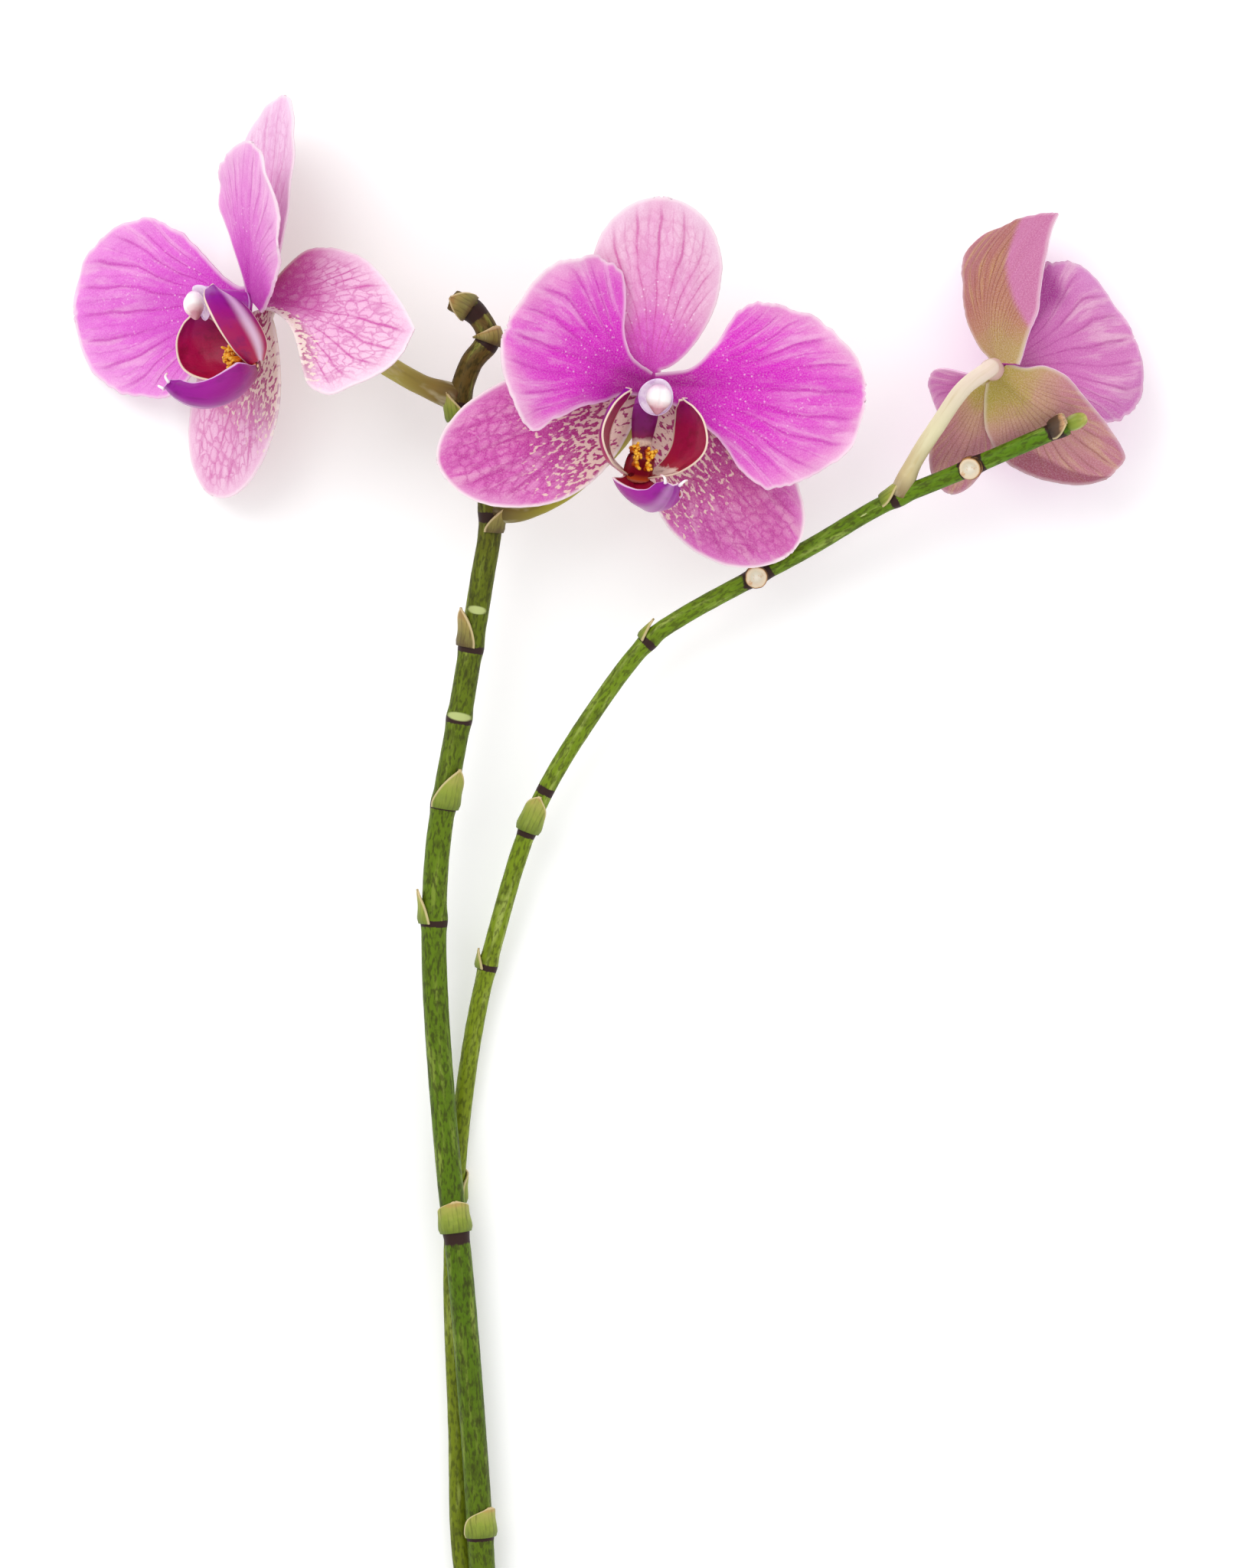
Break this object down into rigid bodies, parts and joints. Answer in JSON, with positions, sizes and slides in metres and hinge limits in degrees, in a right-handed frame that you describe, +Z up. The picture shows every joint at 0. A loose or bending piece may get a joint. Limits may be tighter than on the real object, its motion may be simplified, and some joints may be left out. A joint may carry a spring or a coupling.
{
  "type": "cut orchid",
  "caption": "Moth orchid spray with veined pink flowers, two bent green stems joined near the cut end, bracts, cut stubs and buds, lying flat.",
  "frame": {"origin": "on the surface the spray lies on, in the middle of its width and length", "axes": "+Z up out of the surface and out of the centre flower's face; +Y along the spray from the cut end to the flowers; +X towards the small cupped flower"},
  "size_m": [0.2532, 0.388, 0.0641],
  "materials": {
    "main_stem": "satin, mottled green",
    "side_stem": "satin, light green",
    "stalk": "satin, yellow-green to cream",
    "bract": "matt, yellow-green",
    "dry_bract": "matt, dry tan",
    "scar": "matt, pale cut face",
    "sepal": "satin, veined pale pink",
    "petal": "satin, veined magenta",
    "lip": "waxy, crimson",
    "column": "waxy, purple",
    "cap": "waxy, white",
    "bud": "satin, green"
  },
  "bodies": {
    "root": {"main_stem": "main_stem", "side_stem": "side_stem", "centre_dorsal_sepal": "sepal", "centre_left_petal": "petal", "centre_right_petal": "petal", "centre_left_lateral_sepal": "sepal", "centre_right_lateral_sepal": "sepal", "centre_column": "column", "centre_anther_cap": "cap", "centre_lip": "lip", "left_dorsal_sepal": "sepal", "left_left_petal": "petal", "left_right_petal": "petal", "left_left_lateral_sepal": "sepal", "left_right_lateral_sepal": "sepal", "left_column": "column", "left_anther_cap": "cap", "left_lip": "lip", "right_dorsal_sepal": "sepal", "right_left_petal": "petal", "right_right_petal": "petal", "right_right_lateral_sepal": "sepal", "right_left_lateral_sepal": "sepal", "right_column": "column", "right_anther_cap": "cap", "right_lip": "lip", "centre_stalk": "stalk", "left_stalk": "stalk", "right_stalk": "stalk", "main_low_sheath": "bract", "main_middle_sheath": "bract", "main_small_bract": "bract", "main_front_bract": "bract", "main_leafy_bract": "bract", "centre_stalk_bract": "bract", "left_stalk_bract": "bract", "main_top_ring": "bract", "main_tip_bract": "bract", "side_low_sheath": "bract", "side_small_bract": "bract", "side_long_sheath": "bract", "side_point_bract": "bract", "right_stalk_bract": "bract", "side_dry_bract": "dry_bract", "side_low_stub": "scar", "side_high_stub": "scar", "side_tip_bud": "bud"}
  },
  "joints": []
}
